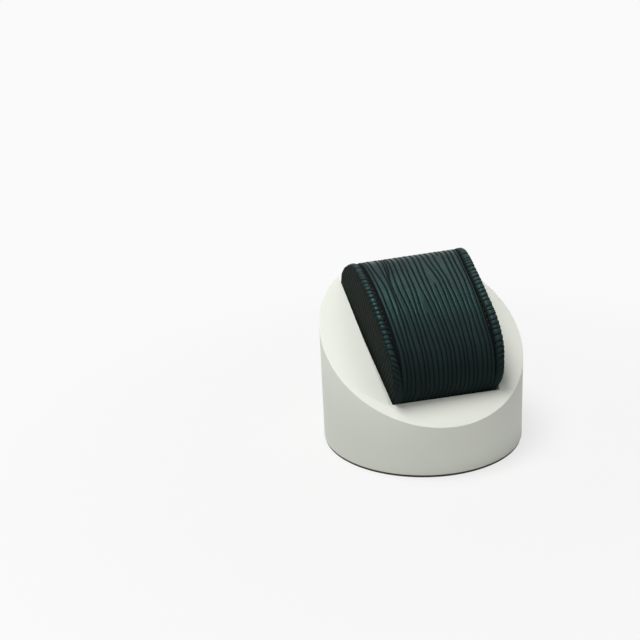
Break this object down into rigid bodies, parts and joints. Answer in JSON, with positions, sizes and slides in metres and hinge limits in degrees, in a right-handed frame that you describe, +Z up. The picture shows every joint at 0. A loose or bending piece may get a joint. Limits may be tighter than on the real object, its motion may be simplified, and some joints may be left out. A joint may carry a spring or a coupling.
{
  "type": "watch stand",
  "caption": "Round display stand with a slanted top that holds a D-shaped pleated leather cushion, round which a wristwatch is buckled.",
  "frame": {"origin": "centre of the round underside, on the surface the stand rests on", "axes": "+Z up, -Y towards the viewer and the slope's low edge, +X to the right when seen from the front"},
  "size_m": [0.1, 0.1, 0.086],
  "materials": {
    "base_lacquer": "matt white lacquer on wood-fibre board",
    "brown_felt": "dark brown pressed felt",
    "grey_board": "plain dense grey board",
    "foam": "firm foam, out of sight",
    "teal_leather": "dark teal leather with a soft sheen, pleated and gathered",
    "ribbed_cloth": "near-black green cloth with fine ribs"
  },
  "bodies": {
    "root": {"base": "base_lacquer", "base_pad": "brown_felt", "cushion_board": "grey_board", "cushion_core": "foam", "pleated_cover": "teal_leather", "end_panel_left": "ribbed_cloth", "end_panel_right": "ribbed_cloth", "piping_left": "teal_leather", "piping_right": "teal_leather"}
  },
  "joints": []
}
